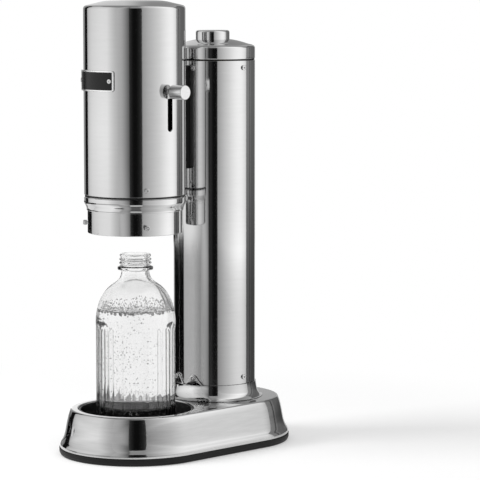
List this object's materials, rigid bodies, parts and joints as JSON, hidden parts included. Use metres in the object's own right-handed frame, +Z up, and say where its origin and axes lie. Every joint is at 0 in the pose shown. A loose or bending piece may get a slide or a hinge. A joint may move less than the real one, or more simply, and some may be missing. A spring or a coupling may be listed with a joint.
{
  "type": "sparkling water maker",
  "caption": "Countertop carbonator on a rounded oblong base: a side handle lowers a steel shield and nozzle over a glass bottle, and a button on the gas tower lets gas in.",
  "frame": {"origin": "on the ground, midway between the head's axis and the tower's axis", "axes": "+Z up, -Y towards the bottle's end, +X towards the side with the handle"},
  "size_m": [0.158, 0.272, 0.465],
  "materials": {
    "polished_steel": "polished stainless steel, faintly brushed",
    "satin_steel": "satin turned steel",
    "black_plastic": "black moulded plastic",
    "plate_face": "black enamelled sheet, left bare",
    "black_rubber": "matt black rubber",
    "gear_plastic": "off-white moulded plastic",
    "brass": "machined brass",
    "aluminium": "plain aluminium",
    "clear_glass": "clear fluted glass",
    "clear_water": "clear water"
  },
  "bodies": {
    "stand": {"base_shell": "polished_steel", "foot_ring": "black_rubber", "base_plate": "black_plastic", "bottle_cup": "black_plastic", "bottle_pad": "black_rubber", "tower_foot_ring": "polished_steel", "tower_tube": "polished_steel", "cap_ring": "black_plastic", "tower_cap": "polished_steel", "tower_lower_screw_1": "satin_steel", "tower_lower_screw_2": "satin_steel", "tower_lower_screw_3": "satin_steel", "tower_lower_screw_4": "satin_steel", "tower_upper_screw_1": "satin_steel", "tower_upper_screw_2": "satin_steel", "tower_upper_screw_3": "satin_steel", "tower_upper_screw_4": "satin_steel", "gas_bottle": "aluminium", "gas_bottle_valve": "brass", "gas_bottle_guide": "black_plastic", "valve_bracket": "aluminium", "valve_body": "brass", "relief_valve": "brass", "gas_pipe": "satin_steel", "bridge_bracket": "black_plastic", "head_shell": "polished_steel", "head_seam_ring": "black_plastic", "head_lower_ring": "polished_steel", "head_screw_1": "satin_steel", "head_screw_2": "satin_steel", "head_screw_3": "satin_steel", "plate_tray": "polished_steel", "plate_inlay": "plate_face", "plate_screw_1": "satin_steel", "plate_screw_2": "satin_steel", "lift_frame": "aluminium", "gear_axle": "satin_steel", "feed_pipe": "satin_steel"},
    "shield": {"shield_tube": "polished_steel", "shield_rack": "gear_plastic", "lock_stud_1": "satin_steel", "lock_stud_2": "satin_steel", "lock_stud_3": "satin_steel"},
    "handle": {"handle_knob": "satin_steel", "handle_neck": "satin_steel", "handle_strap": "aluminium", "handle_rack": "gear_plastic", "nozzle_arm": "gear_plastic", "nozzle_stem": "satin_steel", "nozzle_head": "gear_plastic", "nozzle_seal": "black_rubber"},
    "gear": {"lift_gear": "gear_plastic"},
    "button": {"push_button": "polished_steel", "button_plunger": "gear_plastic", "button_spring": "satin_steel"},
    "bottle": {"glass_bottle": "clear_glass", "bottle_water": "clear_water"},
    "hatch": {"gas_hatch": "black_plastic"}
  },
  "joints": [
    {"name": "shield_slide", "type": "slide", "parent": "stand", "child": "shield", "axis": [0, 0, -1], "range_m": [0, 0.19733]},
    {"name": "handle_slide", "type": "slide", "parent": "stand", "child": "handle", "axis": [0, 0, -1], "range_m": [0, 0.037]},
    {"name": "gear_spin", "type": "hinge", "parent": "stand", "child": "gear", "pos_m": [0.01827, -0.057, 0.253], "axis": [0, 1, 0], "range_deg": [0, 589.07]},
    {"name": "button_press", "type": "slide", "parent": "stand", "child": "button", "axis": [0, 0, -1], "range_m": [0, 0.004], "stiffness_N_per_m": 600, "springref_m": -0.005, "deforming": ["button_spring"]},
    {"name": "bottle_turn", "type": "hinge", "parent": "stand", "child": "bottle", "pos_m": [0, -0.057, 0.0166], "axis": [0, 0, 1], "continuous": true},
    {"name": "hatch_turn", "type": "hinge", "parent": "stand", "child": "hatch", "pos_m": [0, 0.057, 0.0083], "axis": [0, 0, 1], "range_deg": [0, 60]}
  ],
  "couplings": [
    {"joint": "handle_slide", "follows": "shield_slide", "ratio": 0.1875},
    {"joint": "gear_spin", "follows": "shield_slide", "rad_per_m": 52.083}
  ]
}
